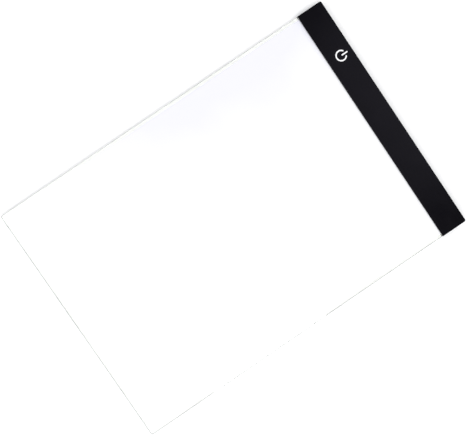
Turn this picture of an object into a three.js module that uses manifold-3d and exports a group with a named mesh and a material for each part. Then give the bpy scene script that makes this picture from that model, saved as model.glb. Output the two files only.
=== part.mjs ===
// An A4 LED tracing light box. A flat stack of sheets (back plate, reflector, clear light guide
// and diffuser) is lit through one short edge by a row of LEDs. The LEDs, their control board,
// the touch key and the micro-USB socket sit in a black two-part strip that clamps that edge.
//
// Millimetres. +X is the width, +Y runs along the length towards the strip, +Z is up.
// The origin is on the table, under the middle of the box.

import * as THREE from "three";
import { mergeVertices } from "three/addons/utils/BufferGeometryUtils.js";
import Module from "manifold-3d";

const wasm = await Module();
wasm.setup();

// ---------------------------------------------------------------- driving dimensions

const padWidth = 235;
const padLength = 340;
const stripWidth = 25;
const jawDepth = 7.5; // how far the strip's jaw reaches over the sheets
const stripCornerRadius = 1.5;
const panelCornerRadius = 1.2;

// Sheets
const backPlateThickness = 1;
const reflectorThickness = 0.25;
const guideThickness = 3;
const diffuserThickness = 0.3;
const sheetGap = 0.05; // air film between neighbouring sheets
const guideBorder = 2.8; // clear rim of the guide beyond the diffuser
const guideChamfer = 0.2;
const rimTapeWidth = 2.4;
const rimTapeInset = 0.2;
const seam = 0.15; // butt joint between the panel and the strip

// Strip covers
const coverWall = 1.2;
const coverRoof = 1;
const coverFloor = 0.85;
const coverEdgeRadius = 0.45;
const lowerCoverHeight = 2.4;
const partingGap = 0.12;
const lipThickness = 0.6;
const lipHeight = 0.9; // above the parting line
const lipClearance = 0.1;
const jawTapeThickness = 0.45;
const jawTapeInset = 0.6;
const tongueClearance = 0.2;

// Screws, from below into bosses on the top cover
const screwCount = 5;
const screwEndInset = 17.5;
const screwShankRadius = 0.75;
const screwHeadRadius = 1.6;
const screwHeadHeight = 0.75;
const screwHeadRim = 0.1;
const screwRecess = 0.05; // the head's face sits this far inside the cover's underside
const screwLength = 3.8;
const screwClearance = 0.1;
const crossSlotLength = 1.9;
const crossSlotWidth = 0.4;
const crossSlotDepth = 0.45;
const bossRadius = 1.9;
const bossFloorGap = 0.1;

// Feet
const footRadius = 4;
const footHeight = 1;
const footInset = 8;
const footEdgeRadius = 0.3;

// LED row
const ledCount = 24;
const ledLength = 3.5;
const ledHeight = 2.8;
const ledThickness = 0.75;
const ledWindowBorder = 0.25;
const ledWindowDepth = 0.12;
const ledAirGap = 0.4;
const solderGap = 0.05;
const ledBoardThickness = 0.8;
const ledBoardEndGap = 3.3;
const ledBoardEdgeGap = 0.2;
const ribCount = 6;
const ribLength = 8;
const ribThickness = 0.7;
const ribHeight = 2.1;
const ribGap = 0.15;

// Control board and what it carries
const boardThickness = 0.8;
const boardFloorGap = 0.1;
const boardEdgeGap = 0.3;
const boardRightFromEnd = 60;
const usbWidth = 7.6;
const usbHeight = 2.75;
const usbLength = 5.2;
const usbWall = 0.3;
const usbCornerCut = 0.7;
const usbMouthInset = 0.3;
const usbPortClearance = 0.25;
const tongueWidth = 5.4;
const tongueThickness = 0.6;
const tongueLength = 3.6;
const insulatorBlockLength = 0.9;
const controllerFromEnd = 27;
const driverFromEnd = 36;
const resistorFromEnd = 42.5;
const capacitorFromEnd = 11.5;
const capacitorFromBack = 2.1;
const resistorSpacing = 3.2;
const resistorShift = 1;

// Touch key
const keyFromEnd = 50.1;
const keyIconRadius = 4.55;
const keyStroke = 1.25;
const keyGapHalfAngle = THREE.MathUtils.degToRad(37);
const keyBarStart = 1.05;
const keyBarEnd = 6.25;
const inlayDepth = 0.4;
const inlayClearance = 0.03;
const electrodeRadius = 5;
const electrodeThickness = 0.1;
const springRadius = 2.15;
const springWire = 0.5;
const springTurns = 3.5;
const springEdgeMargin = 0.3;

// LED supply wires
const wireDiameter = 0.9;
const wireGap = 0.2; // between the wires, and to the screw boss they pass
const wireSpread = 3.2; // along the LED board, between the wires' ends
const wireRun = 14;

// ---------------------------------------------------------------- levels and lines

const halfWidth = padWidth / 2;
const frontY = -padLength / 2;
const backY = padLength / 2;
const stripFrontY = backY - stripWidth;
const panelEndY = stripFrontY - seam;
const guideEdgeY = stripFrontY + jawDepth;

const baseZ = footHeight;
const reflectorZ = baseZ + backPlateThickness + sheetGap;
const guideZ = reflectorZ + reflectorThickness + sheetGap;
const diffuserZ = guideZ + guideThickness + sheetGap;

const floorTopZ = baseZ + coverFloor;
const boardZ = floorTopZ + boardFloorGap;
const boardTopZ = boardZ + boardThickness;
const usbZ = boardTopZ + solderGap;
const usbTopZ = usbZ + usbHeight;
// The roof clears whichever stands taller, the taped guide or the socket on its board.
const roofUnderZ = Math.max(diffuserZ + jawTapeThickness + sheetGap, usbTopZ + usbPortClearance + sheetGap);
const roofTopZ = roofUnderZ + coverRoof;
const partingZ = baseZ + lowerCoverHeight;

const wallInnerX = halfWidth - coverWall;
const wallInnerY = backY - coverWall;
const lipOuterX = wallInnerX - lipClearance;
const lipInnerX = lipOuterX - lipThickness;
const lipOuterY = wallInnerY - lipClearance;
const lipInnerY = lipOuterY - lipThickness;

const ledFaceY = guideEdgeY + ledAirGap;
const ledBoardY = ledFaceY + ledThickness + solderGap;
const ledBoardBackY = ledBoardY + ledBoardThickness;
const ledBoardHalfLength = wallInnerX - ledBoardEndGap;
const ribY = ledBoardBackY + ribGap;
const ribBackY = ribY + ribThickness;

const boardFrontY = ribBackY + boardEdgeGap;
const boardBackY = lipInnerY - boardEdgeGap;
const boardCentreY = (boardFrontY + boardBackY) / 2;
const boardLeftX = -lipInnerX + boardEdgeGap;
const boardRightX = -halfWidth + boardRightFromEnd;
const usbMouthX = -halfWidth + usbMouthInset;
const keyX = -halfWidth + keyFromEnd;
const keyY = boardFrontY + springEdgeMargin + springRadius + springWire / 2;
const electrodeZ = roofUnderZ - sheetGap - electrodeThickness;

const screwXs = spread(screwCount, halfWidth - screwEndInset);

// ---------------------------------------------------------------- materials

function material(color, roughness, metalness = 0, extra = {}) {
  return new THREE.MeshStandardMaterial({ color, roughness, metalness, ...extra });
}

const blackPlastic = material(0x1d1c21, 0.45);
const whitePlastic = material(0xf2f2f0, 0.6);
const clearAcrylic = material(0xf4faf8, 0.05, 0, { transparent: true, opacity: 0.4 });
const diffuserFilm = material(0xfafbff, 0.75, 0, { emissive: 0xdfe6ff });
const reflectorFilm = material(0xffffff, 0.35);
const whiteTape = material(0xf1efe6, 0.7);
const boardWhite = material(0xf4f4f0, 0.5);
const boardGreen = material(0x1f6a3a, 0.45);
const ledPackage = material(0xf7efc8, 0.4);
const chipBlack = material(0x202022, 0.6);
const chipTan = material(0xb59a70, 0.5);
const nickelSteel = material(0xc9cbcd, 0.25, 1);
const blackSteel = material(0x2a2a2c, 0.35, 1);
const copper = material(0xc47a4a, 0.3, 1);
const silicone = material(0xd9dcdc, 0.5);
const inkWhite = material(0xffffff, 0.5);
const wireRed = material(0xc01f1f, 0.5);
const wireBlack = material(0x161616, 0.5);

// ---------------------------------------------------------------- helpers

// count places spread evenly from -reach to +reach.
function spread(count, reach) {
  return Array.from({ length: count }, (_, i) => -reach + (2 * reach * i) / (count - 1));
}

function block([x0, x1], [y0, y1], [z0, z1]) {
  const box = new THREE.BoxGeometry(x1 - x0, y1 - y0, z1 - z0);
  return box.translate((x0 + x1) / 2, (y0 + y1) / 2, (z0 + z1) / 2);
}

// A standing cylinder or cone frustum from z0 to z1.
function column(x, y, [z0, z1], lowRadius, highRadius = lowRadius, sides = 24) {
  const made = new THREE.CylinderGeometry(highRadius, lowRadius, z1 - z0, sides);
  return made.rotateX(Math.PI / 2).translate(x, y, (z0 + z1) / 2);
}

// A rectangle whose two front corners and two back corners have their own radii.
function plan([x0, x1], [y0, y1], frontRadius, backRadius) {
  const arcSteps = 6;
  const points = [];
  const corner = (x, y, radius, firstQuarter) => {
    const steps = radius > 0 ? arcSteps : 0;
    for (let i = 0; i <= steps; i++) {
      const angle = (firstQuarter + (steps ? i / steps : 0)) * (Math.PI / 2);
      points.push(new THREE.Vector2(x + radius * Math.cos(angle), y + radius * Math.sin(angle)));
    }
  };
  corner(x0 + frontRadius, y0 + frontRadius, frontRadius, 2);
  corner(x1 - frontRadius, y0 + frontRadius, frontRadius, 3);
  corner(x1 - backRadius, y1 - backRadius, backRadius, 0);
  corner(x0 + backRadius, y1 - backRadius, backRadius, 1);
  return new THREE.Shape(points);
}

function prism(shape, [z0, z1], curveSegments = 6) {
  const made = new THREE.ExtrudeGeometry(shape, { depth: z1 - z0, bevelEnabled: false, curveSegments });
  return made.translate(0, 0, z0);
}

// A prism whose top and bottom edges are rounded or chamfered by radius.
function softPrism(shape, [z0, z1], radius, bevelSegments) {
  const made = new THREE.ExtrudeGeometry(shape, {
    depth: z1 - z0 - 2 * radius,
    bevelThickness: radius,
    bevelSize: radius,
    bevelOffset: -radius,
    bevelSegments,
    curveSegments: 6,
  });
  return made.translate(0, 0, z0 + radius);
}

function solid(geometry) {
  const bare = geometry.index ? geometry.toNonIndexed() : geometry.clone();
  bare.deleteAttribute("normal");
  bare.deleteAttribute("uv");
  const merged = mergeVertices(bare, 1e-4);
  return new wasm.Manifold(
    new wasm.Mesh({
      numProp: 3,
      vertProperties: merged.attributes.position.array,
      triVerts: new Uint32Array(merged.index.array),
    }),
  );
}

// body with every geometry in joined added and then every geometry in cut taken away.
function carve(body, { joined = [], cut = [] }) {
  let made = solid(body);
  for (const geometry of joined) made = made.add(solid(geometry));
  for (const geometry of cut) made = made.subtract(solid(geometry));
  return geometryOf(made);
}

function trim(body, keep) {
  return geometryOf(solid(body).intersect(solid(keep)));
}

function geometryOf(made) {
  const { vertProperties, triVerts } = made.getMesh();
  const geometry = new THREE.BufferGeometry();
  geometry.setAttribute("position", new THREE.BufferAttribute(vertProperties, 3));
  geometry.setIndex(new THREE.BufferAttribute(triVerts, 1));
  geometry.computeVertexNormals();
  return geometry;
}

function sweep(curve, diameter, steps) {
  const section = new THREE.Shape().absarc(0, 0, diameter / 2, 0, 2 * Math.PI);
  return new THREE.ExtrudeGeometry(section, { steps, extrudePath: curve, curveSegments: 8 });
}

const lightBox = new THREE.Group();

function part(name, geometry, finish) {
  const mesh = new THREE.Mesh(geometry, finish);
  mesh.name = name;
  lightBox.add(mesh);
  return mesh;
}

// ---------------------------------------------------------------- sheets

function backPlate() {
  const outline = plan([-halfWidth, halfWidth], [frontY, panelEndY], panelCornerRadius, 0);
  return prism(outline, [baseZ, baseZ + backPlateThickness]);
}

// A U of double-sided tape under the guide's clear rim, on its three free sides.
function rimTape() {
  const outerX = halfWidth - rimTapeInset;
  const innerX = outerX - rimTapeWidth;
  const outerY = frontY + rimTapeInset;
  const levels = [reflectorZ, reflectorZ + reflectorThickness];
  const outline = prism(plan([-outerX, outerX], [outerY, panelEndY], panelCornerRadius, 0), levels);
  const inside = block(
    [-innerX, innerX],
    [outerY + rimTapeWidth, panelEndY + 1],
    [levels[0] - 1, levels[1] + 1],
  );
  return carve(outline, { cut: [inside] });
}

// The reflector runs on under the jaw to the guide's lit edge. The diffuser stops at the strip.
function film(z, thickness, endY) {
  const reach = halfWidth - guideBorder;
  return block([-reach, reach], [frontY + guideBorder, endY], [z, z + thickness]);
}

// Full width on the panel, with a narrower tongue that goes into the strip's jaw.
function lightGuide() {
  const tongueX = wallInnerX - tongueClearance;
  const levels = [guideZ, guideZ + guideThickness];
  const full = plan([-halfWidth, halfWidth], [frontY, guideEdgeY], panelCornerRadius, 0);
  const shoulder = (side) => {
    const xs = side < 0 ? [-halfWidth - 1, -tongueX] : [tongueX, halfWidth + 1];
    return block(xs, [panelEndY, guideEdgeY + 1], [levels[0] - 1, levels[1] + 1]);
  };
  return carve(softPrism(full, levels, guideChamfer, 1), { cut: [shoulder(-1), shoulder(1)] });
}

part("back_plate", backPlate(), whitePlastic);
part("rim_tape", rimTape(), whiteTape);
part("reflector_film", film(reflectorZ, reflectorThickness, guideEdgeY - sheetGap), reflectorFilm);
part("light_guide_plate", lightGuide(), clearAcrylic);
part("diffuser_film", film(diffuserZ, diffuserThickness, panelEndY), diffuserFilm);

// ---------------------------------------------------------------- touch key artwork

// The power mark: an open ring and a bar, drawn by a round-ended stroke about the key's centre.
function ringShape(stroke) {
  const half = stroke / 2;
  const start = Math.PI / 2 + keyGapHalfAngle;
  const end = Math.PI / 2 - keyGapHalfAngle + 2 * Math.PI;
  const tip = (angle) => [keyIconRadius * Math.cos(angle), keyIconRadius * Math.sin(angle)];
  const shape = new THREE.Shape();
  shape.absarc(0, 0, keyIconRadius + half, start, end, false);
  shape.absarc(...tip(end), half, end, end + Math.PI, false);
  shape.absarc(0, 0, keyIconRadius - half, end, start, true);
  shape.absarc(...tip(start), half, start + Math.PI, start + 2 * Math.PI, false);
  return shape;
}

function barShape(stroke) {
  const half = stroke / 2;
  const shape = new THREE.Shape();
  shape.absarc(0, keyBarEnd, half, 0, Math.PI, false);
  shape.absarc(0, keyBarStart, half, Math.PI, 2 * Math.PI, false);
  return shape;
}

function keyInlay(shape) {
  const levels = [roofTopZ - inlayDepth + inlayClearance, roofTopZ];
  return prism(shape, levels, 14).translate(keyX, keyY, 0);
}

function keyPocket(shape) {
  return prism(shape, [roofTopZ - inlayDepth, roofTopZ + 1], 14).translate(keyX, keyY, 0);
}

const inlayStroke = keyStroke - 2 * inlayClearance;
part("power_icon_ring", keyInlay(ringShape(inlayStroke)), inkWhite);
part("power_icon_bar", keyInlay(barShape(inlayStroke)), inkWhite);

// ---------------------------------------------------------------- strip covers

function stripBlank(levels) {
  const outline = plan([-halfWidth, halfWidth], [stripFrontY, backY], 0, stripCornerRadius);
  return softPrism(outline, levels, coverEdgeRadius, 3);
}

// The hollow between the end walls and the back wall, open to the front for the sheets.
function stripHollow(levels) {
  return block([-wallInnerX, wallInnerX], [stripFrontY - 1, wallInnerY], levels);
}

// The way through the left end wall to the micro-USB socket.
function usbPort() {
  const reach = usbWidth / 2 + usbPortClearance;
  return block(
    [-halfWidth - 1, boardLeftX],
    [boardCentreY - reach, boardCentreY + reach],
    [usbZ - usbPortClearance, usbTopZ + usbPortClearance],
  );
}

function topCover() {
  const bottomZ = partingZ + partingGap / 2;
  const blank = trim(
    stripBlank([bottomZ - 1, roofTopZ]),
    block([-halfWidth - 1, halfWidth + 1], [stripFrontY - 1, backY + 1], [bottomZ, roofTopZ + 1]),
  );
  const shell = carve(blank, { cut: [stripHollow([bottomZ - 1, roofUnderZ]), usbPort()] });
  const bossBottomZ = floorTopZ + bossFloorGap;
  const pilotTopZ = baseZ + screwRecess + screwLength + screwClearance;
  return carve(shell, {
    joined: screwXs.map((x) => column(x, boardCentreY, [bossBottomZ, roofUnderZ + 0.1], bossRadius)),
    cut: [
      ...screwXs.map((x) =>
        column(x, boardCentreY, [bossBottomZ - 1, pilotTopZ], screwShankRadius + screwClearance),
      ),
      keyPocket(ringShape(keyStroke)),
      keyPocket(barShape(keyStroke)),
    ],
  });
}

// A locating lip inside the top cover's walls, on the back and on both ends.
function coverLip() {
  const top = partingZ + lipHeight;
  const frame = block([-lipOuterX, lipOuterX], [boardFrontY, lipOuterY], [floorTopZ - 0.1, top]);
  const inside = block([-lipInnerX, lipInnerX], [boardFrontY - 1, lipInnerY], [floorTopZ - 1, top + 1]);
  return carve(frame, { cut: [inside] });
}

// Below the parting line the lip is one with the wall.
function lipRoot(topZ) {
  const frame = block(
    [-wallInnerX - 0.1, wallInnerX + 0.1],
    [boardFrontY, wallInnerY + 0.1],
    [floorTopZ - 0.1, topZ],
  );
  const inside = block([-lipInnerX, lipInnerX], [boardFrontY - 1, lipInnerY], [floorTopZ - 1, topZ + 1]);
  return carve(frame, { cut: [inside] });
}

function ledRib(x) {
  const xs = [x - ribLength / 2, x + ribLength / 2];
  return block(xs, [ribY, ribBackY], [floorTopZ - 0.1, floorTopZ + ribHeight]);
}

// A clearance hole for the shank and a countersink for the head.
function screwHole(x) {
  const rimZ = baseZ + screwRecess + screwHeadRim;
  const neckZ = baseZ + screwRecess + screwHeadHeight;
  const mouthRadius = screwHeadRadius + screwClearance;
  const shankRadius = screwShankRadius + screwClearance;
  return [
    column(x, boardCentreY, [baseZ - 1, rimZ], mouthRadius),
    column(x, boardCentreY, [rimZ, neckZ], mouthRadius, shankRadius),
    column(x, boardCentreY, [neckZ - 0.01, floorTopZ + 1], shankRadius),
  ];
}

function bottomCover() {
  const topZ = partingZ - partingGap / 2;
  const blank = trim(
    stripBlank([baseZ, topZ + 1]),
    block([-halfWidth - 1, halfWidth + 1], [stripFrontY - 1, backY + 1], [baseZ - 1, topZ]),
  );
  const tray = carve(blank, { cut: [stripHollow([floorTopZ, topZ + 1])] });
  return carve(tray, {
    joined: [lipRoot(topZ), coverLip(), ...spread(ribCount, halfWidth - screwEndInset).map(ledRib)],
    cut: [usbPort(), ...screwXs.flatMap(screwHole)],
  });
}

// Foam tape that fills the jaw above the guide and below the reflector, as wide as the guide's tongue.
function jawTape(z0, z1) {
  const reach = wallInnerX - tongueClearance;
  return block([-reach, reach], [stripFrontY + jawTapeInset, guideEdgeY - jawTapeInset], [z0, z1]);
}

part("strip_top_cover", topCover(), blackPlastic);
part("strip_bottom_cover", bottomCover(), blackPlastic);
part("upper_jaw_tape", jawTape(diffuserZ, roofUnderZ - sheetGap), whiteTape);
part("lower_jaw_tape", jawTape(floorTopZ + sheetGap, reflectorZ - sheetGap), whiteTape);

// ---------------------------------------------------------------- LED row

function ledBoard() {
  return block(
    [-ledBoardHalfLength, ledBoardHalfLength],
    [ledBoardY, ledBoardBackY],
    [floorTopZ + ledBoardEdgeGap, roofUnderZ - ledBoardEdgeGap],
  );
}

// A side-looking LED with a shallow light window facing the guide's edge.
function led(x) {
  const middleZ = guideZ + guideThickness / 2;
  const body = block(
    [x - ledLength / 2, x + ledLength / 2],
    [ledFaceY, ledFaceY + ledThickness],
    [middleZ - ledHeight / 2, middleZ + ledHeight / 2],
  );
  const window = block(
    [x - ledLength / 2 + ledWindowBorder, x + ledLength / 2 - ledWindowBorder],
    [ledFaceY - 1, ledFaceY + ledWindowDepth],
    [middleZ - ledHeight / 2 + ledWindowBorder, middleZ + ledHeight / 2 - ledWindowBorder],
  );
  return carve(body, { cut: [window] });
}

part("led_board", ledBoard(), boardWhite);
const ledPitch = (2 * ledBoardHalfLength) / ledCount;
spread(ledCount, ledBoardHalfLength - ledPitch / 2).forEach((x, i) => {
  part(`led_${String(i + 1).padStart(2, "0")}`, led(x), ledPackage);
});

// ---------------------------------------------------------------- control board

function controlBoard() {
  const blank = block([boardLeftX, boardRightX], [boardFrontY, boardBackY], [boardZ, boardTopZ]);
  const bossHoles = screwXs.map((x) =>
    column(x, boardCentreY, [boardZ - 1, boardTopZ + 1], bossRadius + boardEdgeGap),
  );
  return carve(blank, { cut: bossHoles });
}

// The socket's outline, seen from the left end: flat on top, with cut lower corners.
function usbOutline(inset) {
  const reach = usbWidth / 2 - inset;
  const low = inset;
  const high = usbHeight - inset;
  const cut = usbCornerCut - inset * Math.tan(Math.PI / 8);
  return new THREE.Shape([
    new THREE.Vector2(-reach + cut, low),
    new THREE.Vector2(reach - cut, low),
    new THREE.Vector2(reach, low + cut),
    new THREE.Vector2(reach, high),
    new THREE.Vector2(-reach, high),
    new THREE.Vector2(-reach, low + cut),
  ]);
}

// Turns an outline drawn in Y and Z into a bar that runs from x0 to x1.
function alongX(shape, [x0, x1]) {
  const bar = new THREE.ExtrudeGeometry(shape, { depth: x1 - x0, bevelEnabled: false });
  return bar.rotateX(Math.PI / 2).rotateZ(Math.PI / 2).translate(x0, boardCentreY, usbZ);
}

function usbShell() {
  const backX = usbMouthX + usbLength;
  const bore = alongX(usbOutline(usbWall), [usbMouthX - 1, backX - usbWall]);
  return carve(alongX(usbOutline(0), [usbMouthX, backX]), { cut: [bore] });
}

// The insulator: a block that closes the back of the socket, and the tongue that the plug slides over.
function usbTongue() {
  const blockBackX = usbMouthX + usbLength - usbWall - solderGap;
  const blockFrontX = blockBackX - insulatorBlockLength;
  const tongueTopZ = usbTopZ - usbWall - 0.5;
  const half = tongueWidth / 2;
  const backBlock = block(
    [blockFrontX, blockBackX],
    [boardCentreY - half, boardCentreY + half],
    [usbZ + usbWall + solderGap, usbTopZ - usbWall - solderGap],
  );
  const tongue = block(
    [blockFrontX - tongueLength, blockFrontX + 0.1],
    [boardCentreY - half, boardCentreY + half],
    [tongueTopZ - tongueThickness, tongueTopZ],
  );
  return carve(backBlock, { joined: [tongue] });
}

// A moulded chip at the origin, with legs on its two long sides at the given places along X.
function chip([length, width, height], { frontLegs, backLegs, legWidth, legReach }) {
  const standoff = 0.15;
  const legs = (xs, side) =>
    xs.map((x) => {
      const inner = side * (width / 2 - 0.2);
      const outer = side * (width / 2 + legReach);
      const ys = [Math.min(inner, outer), Math.max(inner, outer)];
      return block([x - legWidth / 2, x + legWidth / 2], ys, [0, standoff + 0.15]);
    });
  const body = block([-length / 2, length / 2], [-width / 2, width / 2], [standoff, height]);
  return carve(body, { joined: [...legs(frontLegs, -1), ...legs(backLegs, 1)] });
}

// A two-ended chip component at the origin, with metal caps that stand a little proud.
function endCapped([length, width, height]) {
  const proud = 0.05;
  const capLength = length * 0.18;
  const core = block([-length / 2, length / 2], [-width / 2, width / 2], [proud, height]);
  const cap = (side) => {
    const xs = [side * (length / 2 - capLength), side * (length / 2 + proud)].sort((a, b) => a - b);
    return block(xs, [-width / 2 - proud, width / 2 + proud], [0, height + proud]);
  };
  return carve(core, { joined: [cap(-1), cap(1)] });
}

function onBoard(mesh, fromEnd, y) {
  mesh.position.set(-halfWidth + fromEnd, y, boardTopZ + solderGap);
}

// A helical spring that carries the touch electrode's signal down to the board.
class Helix extends THREE.Curve {
  constructor(radius, height, turns) {
    super();
    Object.assign(this, { radius, height, turns });
  }

  getPoint(t, target = new THREE.Vector3()) {
    const angle = 2 * Math.PI * this.turns * t;
    return target.set(this.radius * Math.cos(angle), this.radius * Math.sin(angle), this.height * t);
  }
}

function touchSpring() {
  const lowZ = boardTopZ + solderGap + springWire / 2;
  const highZ = electrodeZ - solderGap - springWire / 2;
  // The wire leans with the helix, so its ends reach a little past the mean line's ends.
  const lean = 0.05;
  const coil = new Helix(springRadius, highZ - lowZ - 2 * lean, springTurns);
  return sweep(coil, springWire, 64).translate(keyX, keyY, lowZ + lean);
}

// From the control board's right end, along the strip, then forwards to the back of the LED board.
function ledWire(lane) {
  const z = boardTopZ + solderGap + wireDiameter / 2;
  const y = boardCentreY - bossRadius - (2 - lane) * (wireDiameter + wireGap) + wireDiameter / 2;
  const startX = boardRightX - 1.5;
  const turnX = boardRightX + wireRun + lane * wireSpread;
  const endY = ledBoardBackY + solderGap + 0.05;
  const bend = y - endY - wireDiameter / 2;
  const route = new THREE.CurvePath();
  const corner = new THREE.Vector3(turnX, y, z);
  const before = new THREE.Vector3(turnX - bend, y, z);
  const after = new THREE.Vector3(turnX, y - bend, z);
  route.add(new THREE.LineCurve3(new THREE.Vector3(startX, y, z), before));
  route.add(new THREE.QuadraticBezierCurve3(before, corner, after));
  route.add(new THREE.LineCurve3(after, new THREE.Vector3(turnX, endY, z)));
  return sweep(route, wireDiameter, 24);
}

part("control_board", controlBoard(), boardGreen);
part("micro_usb_shell", usbShell(), nickelSteel);
part("micro_usb_tongue", usbTongue(), chipBlack);

const controllerLegs = [-1.905, -0.635, 0.635, 1.905];
const controller = part(
  "touch_controller",
  chip([4.9, 3.9, 1.5], { frontLegs: controllerLegs, backLegs: controllerLegs, legWidth: 0.4, legReach: 1 }),
  chipBlack,
);
onBoard(controller, controllerFromEnd, boardCentreY);

const driver = part(
  "led_driver_transistor",
  chip([2.9, 1.3, 1.1], { frontLegs: [-0.95, 0.95], backLegs: [0], legWidth: 0.4, legReach: 0.55 }),
  chipBlack,
);
onBoard(driver, driverFromEnd, boardCentreY);

[-1, 1].forEach((side, i) => {
  const resistor = part(`current_resistor_${i + 1}`, endCapped([3.2, 1.6, 0.55]), chipBlack);
  onBoard(resistor, resistorFromEnd, boardCentreY + resistorShift + (side * resistorSpacing) / 2);
});

const capacitor = part("filter_capacitor", endCapped([2, 1.25, 1.2]), chipTan);
onBoard(capacitor, capacitorFromEnd, boardBackY - capacitorFromBack);

part("touch_spring", touchSpring(), nickelSteel);
const electrode = column(keyX, keyY, [electrodeZ, electrodeZ + electrodeThickness], electrodeRadius);
part("touch_electrode", electrode, copper);
part("led_wire_positive", ledWire(0), wireRed);
part("led_wire_negative", ledWire(1), wireBlack);

// ---------------------------------------------------------------- screws and feet

// A countersunk screw with its head down and a cross recess, its head's face at the origin.
function coverScrew() {
  const profile = [
    [0, 0],
    [screwHeadRadius, 0],
    [screwHeadRadius, screwHeadRim],
    [screwShankRadius, screwHeadHeight],
    [screwShankRadius, screwLength - screwShankRadius],
    [screwShankRadius * 0.4, screwLength],
    [0, screwLength],
  ].map(([r, z]) => new THREE.Vector2(r, z));
  const turned = new THREE.LatheGeometry(profile, 20).rotateX(Math.PI / 2);
  const slotReach = crossSlotLength / 2;
  const slotHalf = crossSlotWidth / 2;
  const slots = [
    block([-slotReach, slotReach], [-slotHalf, slotHalf], [-1, crossSlotDepth]),
    block([-slotHalf, slotHalf], [-slotReach, slotReach], [-1, crossSlotDepth]),
  ];
  return carve(turned, { cut: slots });
}

// A self-adhesive silicone bumper with a softened lower edge, standing on the table.
function rubberFoot() {
  const topZ = footHeight - sheetGap;
  const profile = [[0, 0]];
  const arcSteps = 4;
  for (let i = 0; i <= arcSteps; i++) {
    const angle = (i / arcSteps) * (Math.PI / 2);
    profile.push([
      footRadius - footEdgeRadius + footEdgeRadius * Math.sin(angle),
      footEdgeRadius - footEdgeRadius * Math.cos(angle),
    ]);
  }
  profile.push([footRadius, topZ], [0, topZ]);
  const points = profile.map(([r, z]) => new THREE.Vector2(r, z));
  return new THREE.LatheGeometry(points, 28).rotateX(Math.PI / 2);
}

screwXs.forEach((x, i) => {
  const screw = part(`cover_screw_${i + 1}`, coverScrew(), blackSteel);
  screw.position.set(x, boardCentreY, baseZ + screwRecess);
});

for (const [row, y] of [
  ["front", frontY + footInset],
  ["back", backY - footInset],
]) {
  for (const [side, sign] of [
    ["left", -1],
    ["right", 1],
  ]) {
    const foot = part(`rubber_foot_${row}_${side}`, rubberFoot(), silicone);
    foot.position.set(sign * (halfWidth - footInset), y, 0);
  }
}

export default lightBox;
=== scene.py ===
"""Looks of an A4 LED tracing light box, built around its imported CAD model.

Sizes are in millimetres until mesh_object() turns them into metres. The frame is the CAD's:
+X across the width, +Y along the length towards the black strip, +Z up, z = 0 on the table.
"""

import math

import bmesh
import bpy
from mathutils import Matrix, Vector


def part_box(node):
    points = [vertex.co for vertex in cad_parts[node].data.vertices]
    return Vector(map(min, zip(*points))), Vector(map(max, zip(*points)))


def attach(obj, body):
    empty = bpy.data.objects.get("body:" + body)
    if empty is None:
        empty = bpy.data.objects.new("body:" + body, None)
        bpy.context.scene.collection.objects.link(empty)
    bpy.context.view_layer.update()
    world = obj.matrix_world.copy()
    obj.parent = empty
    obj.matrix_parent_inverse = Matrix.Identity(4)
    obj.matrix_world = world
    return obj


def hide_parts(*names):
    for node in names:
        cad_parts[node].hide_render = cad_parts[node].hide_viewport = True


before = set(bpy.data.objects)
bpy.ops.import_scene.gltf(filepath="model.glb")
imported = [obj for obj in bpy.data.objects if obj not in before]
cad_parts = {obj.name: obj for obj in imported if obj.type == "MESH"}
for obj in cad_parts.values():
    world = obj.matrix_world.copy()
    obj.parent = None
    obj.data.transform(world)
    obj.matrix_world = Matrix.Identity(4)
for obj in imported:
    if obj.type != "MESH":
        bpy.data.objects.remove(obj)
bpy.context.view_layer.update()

MM = 0.001
SCREWS = [f"cover_screw_{i}" for i in range(1, 6)]
FEET = [f"rubber_foot_{row}_{side}" for row in ("front", "back") for side in ("left", "right")]
LEDS = [f"led_{i:02d}" for i in range(1, 25)]


def extent(node):
    """The CAD node's span along X, Y and Z."""
    low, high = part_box(node)
    return [(a / MM, b / MM) for a, b in zip(low, high)]


def middle(node):
    return Vector([(a + b) / 2 for a, b in extent(node)])


# ---------------------------------------------------------------- sizes

# The sheets.
PANEL_CORNER = 1.2
TONGUE_REACH = 116.1
PANEL_END = 144.85
FILM_CORNER = 0.8
CUT_CORNER = 0.1

# The strip's two covers.
STRIP_CORNER = 1.5
STRIP_FRONT_CORNER = 0.25
COVER_WALL = 1.2
COVER_FLOOR_TOP = 1.85
COVER_ROOF_UNDER = 5.9
COVER_FILLET = 0.15
MEETING_FILLET = 0.06
LOWER_WALL_TOP = 3.34
UPPER_WALL_BOTTOM = 3.46
LIP_FRONT = 155.65
LIP_GAP = 0.1
LIP_WALL = 0.6
LIP_ROOT = 0.2
PORT_REACH = 4.05
PORT_LEVELS = (2.55, 5.85)
PORT_CORNER = 0.45
PORT_DEPTH = 3

# The screws, and the bosses and holes that they go into.
BOSS_RADIUS = 1.9
PILOT_RADIUS = 0.85
PILOT_TOP = 4.95
HEAD_RADIUS = 1.6
HEAD_CLEARANCE = 0.1
HEAD_DEPTH = 0.15
COUNTERSINK_DEPTH = 0.8
HEAD_RIM = 0.1
HEAD_CHAMFER = 0.05
SHANK_START = 0.75
SHANK_RADIUS = 0.75
THREAD_ROOT = 0.62
THREAD_PITCH = 0.4
THREAD_SPAN = (0.85, 3.1)
TIP_RADIUS = 0.3

# The feet.
FOOT_RADIUS = 4
FOOT_ROUND = 0.32
FOOT_DIMPLE = 0.1

# The micro-USB socket.
SHELL_WALL = 0.3
SHELL_CHAMFER = 0.7
SHELL_BEND = 0.25
SHELL_FLARE = 0.14
BLOCK_LENGTH = 0.9
TONGUE_LEVELS = (4.15, 4.75)
CONTACT_PITCH = 0.65
CONTACT_WIDTH = 0.3
CONTACT_LEVELS = (-0.06, 0.02)

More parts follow.
